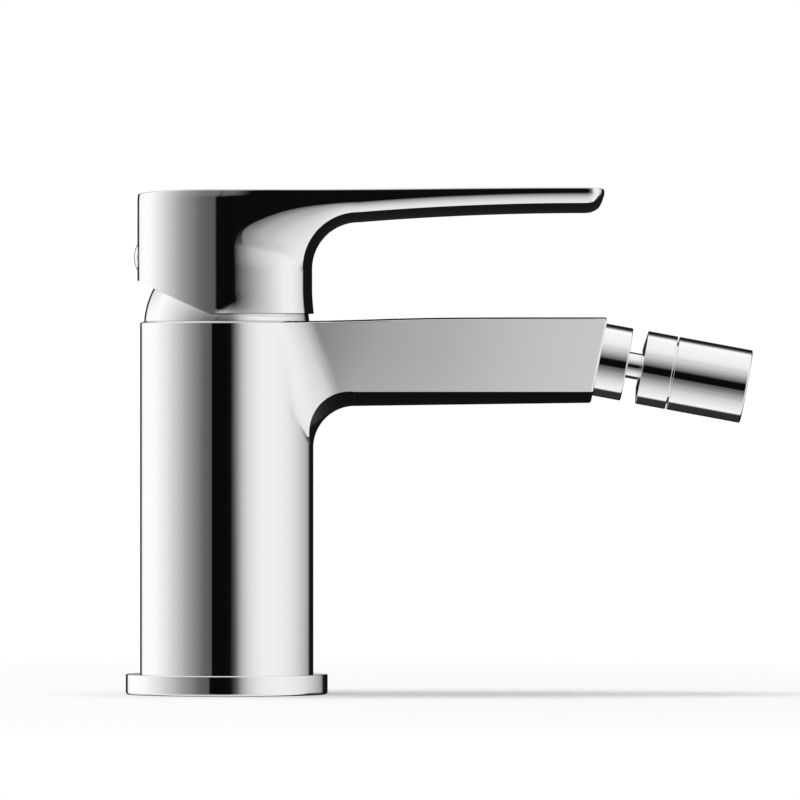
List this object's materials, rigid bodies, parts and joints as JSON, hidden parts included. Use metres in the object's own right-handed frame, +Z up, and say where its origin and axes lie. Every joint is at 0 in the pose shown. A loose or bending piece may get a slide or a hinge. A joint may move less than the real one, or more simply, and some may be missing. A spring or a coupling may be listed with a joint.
{
  "type": "bidet mixer",
  "caption": "Single-lever bidet mixer: round column on a base ring, square-edged spout with a ball-jointed nozzle, and a flat lever over a domed cap.",
  "frame": {"origin": "centre of the base ring's bore, in the plane that rests on the deck", "axes": "+Z up along the column, +X along the spout, +Y across the spout"},
  "size_m": [0.1665, 0.0536, 0.1346],
  "materials": {
    "chrome": "polished chrome plating over cast brass",
    "brass": "turned brass",
    "rubber": "black nitrile rubber",
    "moulded_plastic": "off-white moulded plastic",
    "ceramic": "lapped white ceramic",
    "steel": "plain stainless steel"
  },
  "bodies": {
    "body": {"mixer_body": "chrome", "base_ring": "chrome", "deck_gasket": "rubber", "cartridge_nut": "brass", "dome_cap": "chrome", "cartridge_housing": "moulded_plastic", "cartridge_oring": "rubber", "cartridge_base": "moulded_plastic", "port_seals": "rubber", "disc_seals": "rubber", "fixed_disc": "ceramic", "outlet_collar": "chrome", "collar_oring": "rubber", "ball_stem": "chrome"},
    "turner": {"cartridge_turner": "steel", "stem_pin": "steel"},
    "lever": {"lever_handle": "chrome", "lever_stem": "steel", "grub_screw": "steel", "index_plug": "chrome"},
    "disc": {"moving_disc": "ceramic", "disc_carrier": "moulded_plastic"},
    "tilt_seat": {"ball_seat_rear": "moulded_plastic"},
    "swing_seat": {"ball_seat_front": "moulded_plastic"},
    "nozzle": {"ball_nut": "chrome", "nozzle_shell": "chrome", "aerator_seal": "rubber", "flow_disc": "moulded_plastic", "aerator_housing": "moulded_plastic", "aerator_screen": "steel"}
  },
  "joints": [
    {"name": "temperature_turn", "type": "hinge", "parent": "body", "child": "turner", "pos_m": [0, 0, 0.0974], "axis": [0, 0, 1], "range_deg": [-45, 45]},
    {"name": "lever_lift", "type": "hinge", "parent": "turner", "child": "lever", "pos_m": [0, 0, 0.0974], "axis": [0, -1, 0], "range_deg": [0, 22]},
    {"name": "disc_slide", "type": "slide", "parent": "turner", "child": "disc", "axis": [1, 0, 0], "range_m": [0, 0.0056]},
    {"name": "nozzle_tilt", "type": "hinge", "parent": "body", "child": "tilt_seat", "pos_m": [0.11551, 0, 0.08579], "axis": [0, 1, 0], "range_deg": [-12, 12]},
    {"name": "nozzle_swing", "type": "hinge", "parent": "tilt_seat", "child": "swing_seat", "pos_m": [0.11551, 0, 0.08579], "axis": [0.1822, 0, 0.9833], "range_deg": [-12, 12]},
    {"name": "nozzle_spin", "type": "hinge", "parent": "swing_seat", "child": "nozzle", "pos_m": [0.11551, 0, 0.08579], "axis": [0.9833, 0, -0.1822], "continuous": true}
  ],
  "couplings": [
    {"joint": "disc_slide", "follows": "lever_lift", "m_per_rad": 0.01444}
  ]
}
